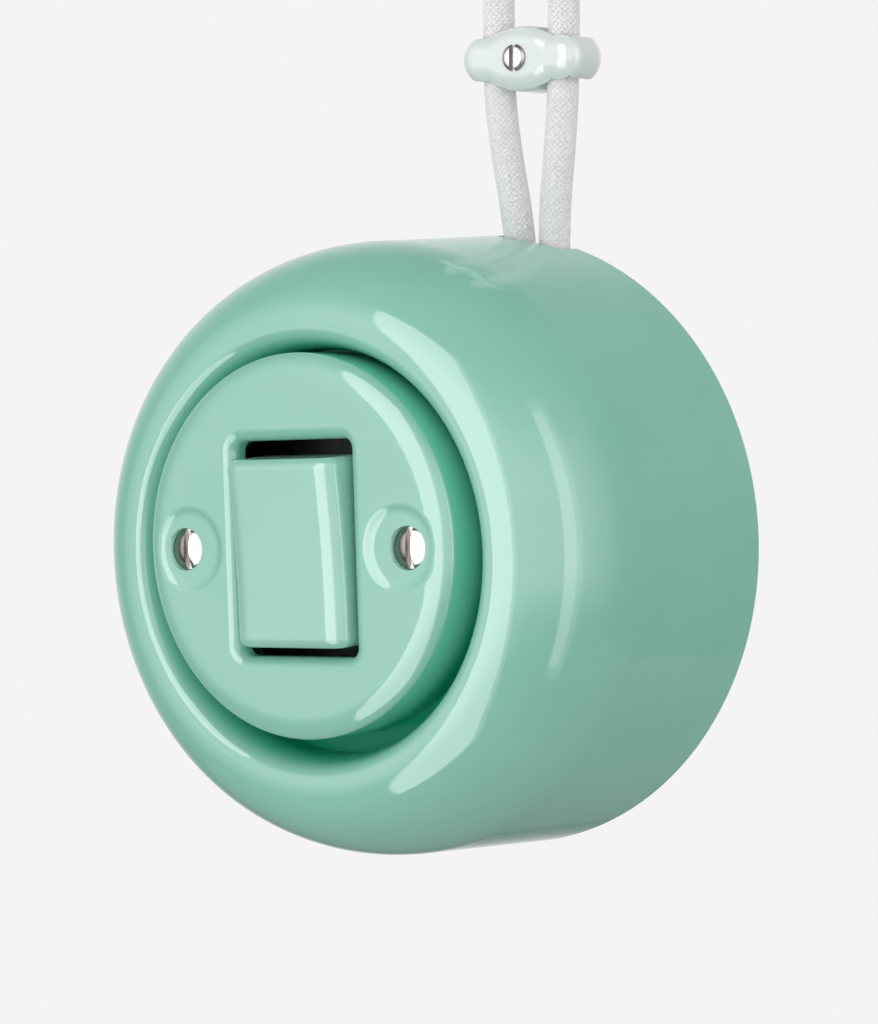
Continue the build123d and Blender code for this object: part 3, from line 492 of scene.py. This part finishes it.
class WALLSWITCH_OT_stage(Operator):
    """Set the camera, the even light, the soft lamps and the floor"""

    bl_idname = "wallswitch.stage"
    bl_label = "Stage"

    def execute(self, context):
        scene = context.scene
        stage = scene.wallswitch_stage
        self.camera(scene, stage)
        self.even_light(scene, stage)
        for lamp in LAMPS:
            self.hang(scene, lamp)
        self.floor(scene, stage)
        scene.view_settings.view_transform = "Standard"
        return {"FINISHED"}

    def camera(self, scene, stage):
        eye = direction(stage.azimuth, stage.elevation) * stage.distance
        behind = (eye - Vector(stage.aim)).normalized()
        right = UP.cross(behind).normalized()
        up = behind.cross(right)
        across = right * cos(stage.roll) - up * sin(stage.roll)
        upward = right * sin(stage.roll) + up * cos(stage.roll)
        camera = bpy.data.objects.new("camera", bpy.data.cameras.new("camera"))
        camera.data.lens = stage.lens
        camera.data.clip_start = CAMERA_CLIP
        turned = Matrix((across, upward, behind)).transposed().to_4x4()
        camera.matrix_world = Matrix.Translation(eye) @ turned
        scene.collection.objects.link(camera)
        scene.camera = camera

    def even_light(self, scene, stage):
        """Even light on colours, a glow in reflections, and the backdrop behind."""
        world = bpy.data.worlds.new("even_light")
        scene.world = world
        world.use_nodes = True
        graph = Graph(world.node_tree)
        light = graph.nodes["Background"]
        light.inputs["Color"].default_value = (1.0, 1.0, 1.0, 1.0)
        light.inputs["Strength"].default_value = stage.ambient
        sky = graph.add("TexCoord").outputs["Generated"]
        front_glow = self.lobe(graph, sky, FRONT_LOBE, stage.glow)
        backdrop_glow = self.lobe(graph, sky, BACKDROP_LOBE, BACKDROP_GLOW)
        strength = graph.maths("MAXIMUM", front_glow, backdrop_glow)
        glow = graph.add("Background", self.by_height(graph, sky), strength).outputs[0]
        ground = graph.add("Background", (*stage.backdrop, 1.0)).outputs[0]
        rays = graph.add("LightPath").outputs
        seen = light.outputs[0]
        for ray, shown in (
            ("Is Glossy Ray", glow),
            ("Is Transmission Ray", ground),
            ("Is Camera Ray", ground),
        ):
            seen = graph.add("MixShader", rays[ray], seen, shown).outputs[0]
        graph.plug(seen, graph.nodes["World Output"].inputs["Surface"])

    def lobe(self, graph, sky, lobe, strength):
        """Strength of the glow round one direction."""
        towards = direction(radians(lobe.azimuth), radians(LOBE_ELEVATION))
        closeness = graph.measure("DOT_PRODUCT", sky, towards)
        return graph.span(closeness, lobe.low, lobe.high, LEAST_GLOW, strength, shape="LINEAR")

    def by_height(self, graph, sky):
        """Share of the glow from straight down to straight up."""
        ramp = graph.add("ValToRGB", graph.span(graph.axis(sky, "Z"), -1.0, 1.0, shape="LINEAR"))
        ramp.color_ramp.interpolation = "EASE"
        stops = ramp.color_ramp.elements
        for place, share in GLOW_BY_HEIGHT:
            stop = stops.new(place)
            stop.color = (share, share, share, 1.0)
        stops.remove(stops[0])
        stops.remove(stops[-1])
        return ramp.outputs["Color"]

    def hang(self, scene, lamp):
        """A soft lamp that either lights the colours or shows in the gloss."""
        data = bpy.data.lights.new(lamp.name, "AREA")
        data.shape = "RECTANGLE"
        data.size = lamp.width
        data.size_y = lamp.height
        data.energy = lamp.radiance * pi * lamp.width * lamp.height
        back = direction(radians(lamp.azimuth), radians(lamp.elevation))
        holder = bpy.data.objects.new(lamp.name, data)
        holder.location = back * lamp.distance
        holder.rotation_euler = (-back).to_track_quat("-Z", "Y").to_euler()
        holder.visible_diffuse = lamp.diffuse
        holder.visible_glossy = not lamp.diffuse
        scene.collection.objects.link(holder)

    def floor(self, scene, stage):
        """A pale round floor, dimmer in reflections."""
        work = bmesh.new()
        bmesh.ops.create_circle(
            work, cap_ends=True, segments=FLOOR_SIDES, radius=stage.floor_radius,
            matrix=Matrix.Translation((0.0, 0.0, -stage.floor_drop)),
        )
        mesh = bpy.data.meshes.new("floor")
        work.to_mesh(mesh)
        work.free()
        mesh.materials.append(self.pale_floor(stage))
        floor_piece = bpy.data.objects.new("floor", mesh)
        scene.collection.objects.link(floor_piece)

    def pale_floor(self, stage):
        finish = Finish("pale_floor", Roughness=FLOOR_ROUGHNESS, Base_Color=FLOOR_GREY)
        fade = [share * stage.floor_radius for share in FLOOR_FADE]
        edge = finish.span(finish.measure("LENGTH", finish.place), *fade, *FLOOR_PALENESS)
        rays = finish.add("LightPath").outputs
        direct = finish.maths("MAXIMUM", rays["Is Camera Ray"], rays["Is Transmission Ray"])
        seen = finish.maths("MAXIMUM", direct, rays["Is Glossy Ray"])
        strength = finish.span(rays["Is Glossy Ray"], 0.0, 1.0, 1.0, stage.mirrored)
        glow = finish.add("Emission", (*stage.backdrop, 1.0), strength).outputs[0]
        share = finish.maths("MULTIPLY", edge, seen)
        mix = finish.add("MixShader", share, finish.shader.outputs[0], glow)
        finish.plug(mix.outputs[0], finish.nodes["Material Output"].inputs["Surface"])
        return finish.material


class WALLSWITCH_OT_cables(Operator):
    """Braid the two cables along their routes"""

    bl_idname = "wallswitch.cables"
    bl_label = "Braided cables"

    def execute(self, context):
        cables = context.scene.wallswitch_cables
        yarn = braided("braided_textile", cables.yarn)
        for side, route in CABLE_ROUTES.items():
            centre = [point.co.copy() for point in as_mesh(cable_curve("line_" + side, route)).vertices]
            tube = cable_curve("tube_" + side, route)
            tube.bevel_depth = cables.diameter / 2
            tube.bevel_resolution = STEPS_AROUND
            mesh = as_mesh(tube)
            braid(mesh, centre, cables.diameter / 2, cables.carriers, cables.lay, cables.relief)
            cable = show(mesh, "braid_" + side, yarn)
            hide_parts("cable_" + side)
        return {"FINISHED"}


class WALLSWITCH_OT_porcelain(Operator):
    """Glaze the housing, the insert, the rocker and the cleat"""

    bl_idname = "wallswitch.porcelain"
    bl_label = "Porcelain"

    def execute(self, context):
        finishes = context.scene.wallswitch_finishes
        mint = (finishes.mint, finishes.mint_thin)
        light = (finishes.mint_light, scaled(finishes.mint_light, THIN_SHARE))
        pale = (finishes.pale, scaled(finishes.pale, THIN_SHARE))
        # Painted shade in the housing's recess, and painted light on the insert's wall
        recess = PaintedLightAndShade(finishes.mint_painted_shade, HOUSING_SHADE_DEPTH, HOUSING_SHADE_RADIUS)
        wall = PaintedLightAndShade(finishes.mint_painted_light, INSERT_LIT_WALL_DEPTH)
        coat(glaze("mint_glaze", *mint, bisque=finishes.bisque, light_and_shade=recess), "housing")
        coat(glaze("mint_glaze_front", *mint, light_and_shade=wall), "front_insert")
        coat(glaze("mint_glaze_rocker", *light), "rocker")
        coat(glaze("pale_glaze", *pale, bisque=finishes.bisque), "cleat")
        return {"FINISHED"}


class WALLSWITCH_OT_metalwork(Operator):
    """Plate the screws and finish the frame, the contacts and the conductors"""

    bl_idname = "wallswitch.metalwork"
    bl_label = "Metalwork"

    def execute(self, context):
        finishes = context.scene.wallswitch_finishes
        coat(plated("nickel_plate", finishes.nickel, roughness=0.16), "cover_screws")
        coat(plated("satin_nickel", finishes.satin_nickel, roughness=0.4), "cleat_screw")
        # Painted shade: the frame, its screws and the pins near-black, as the shade deep in the gaps
        coat(
            plated("black_steel", finishes.painted_shade_black, roughness=0.5),
            "mounting_frame", "frame_screws", "mechanism_screws", "rocker_pins",
        )
        coat(
            plated("zinc_steel", finishes.zinc, roughness=0.38),
            "terminal_screws", "pillar_screws", "grip_screws", "contact_pin",
        )
        coat(plated("spring_steel", finishes.zinc, roughness=0.25), "plunger_spring")
        coat(
            plated("brass", finishes.brass, roughness=0.3),
            "pillars", "terminals", "common_contact", "upper_contact", "lower_contact", "rocking_contact",
        )
        coat(plated("copper", finishes.copper, roughness=0.3), "conductor_left", "conductor_right")
        return {"FINISHED"}


class WALLSWITCH_OT_mouldings(Operator):
    """Finish the mechanism block, the base plate, the cable grip, the plunger and the cores"""

    bl_idname = "wallswitch.mouldings"
    bl_label = "Mouldings"

    def execute(self, context):
        finishes = context.scene.wallswitch_finishes
        coat(moulded("black_thermoset", finishes.black_moulding, roughness=0.45), "mechanism_block")
        coat(
            moulded("white_thermoset", finishes.white_moulding, roughness=0.4),
            "base_plate", "cable_grip", "plunger",
        )
        coat(moulded("brown_insulation", finishes.brown_core, roughness=0.35), "wire_left")
        coat(moulded("black_insulation", finishes.black_core, roughness=0.35), "wire_right")
        return {"FINISHED"}


class WALLSWITCH_PT_panel(Panel):
    """Shows buttons for the switch's steps and their settings"""

    bl_idname = "WALLSWITCH_PT_panel"
    bl_label = "Wall Switch"
    bl_space_type = "VIEW_3D"
    bl_region_type = "UI"
    bl_category = "Wall Switch"

    def draw(self, context):
        scene = context.scene
        for operator in OPERATORS:
            self.layout.operator(operator.bl_idname)
        for settings in (scene.wallswitch_stage, scene.wallswitch_cables, scene.wallswitch_finishes):
            box = self.layout.box()
            for name in settings.__annotations__:
                box.prop(settings, name)


OPERATORS = (
    WALLSWITCH_OT_stage,
    WALLSWITCH_OT_cables,
    WALLSWITCH_OT_porcelain,
    WALLSWITCH_OT_metalwork,
    WALLSWITCH_OT_mouldings,
)
CLASSES = (WallSwitchStage, WallSwitchCables, WallSwitchFinishes, *OPERATORS, WALLSWITCH_PT_panel)


def register():
    for item in CLASSES:
        bpy.utils.register_class(item)
    bpy.types.Scene.wallswitch_stage = PointerProperty(type=WallSwitchStage)
    bpy.types.Scene.wallswitch_cables = PointerProperty(type=WallSwitchCables)
    bpy.types.Scene.wallswitch_finishes = PointerProperty(type=WallSwitchFinishes)


def unregister():
    del bpy.types.Scene.wallswitch_finishes
    del bpy.types.Scene.wallswitch_cables
    del bpy.types.Scene.wallswitch_stage
    for item in reversed(CLASSES):
        bpy.utils.unregister_class(item)


def main():
    register()
    bpy.ops.wallswitch.stage()
    bpy.ops.wallswitch.cables()
    bpy.ops.wallswitch.porcelain()
    bpy.ops.wallswitch.metalwork()
    bpy.ops.wallswitch.mouldings()


if __name__ == "__main__":
    main()
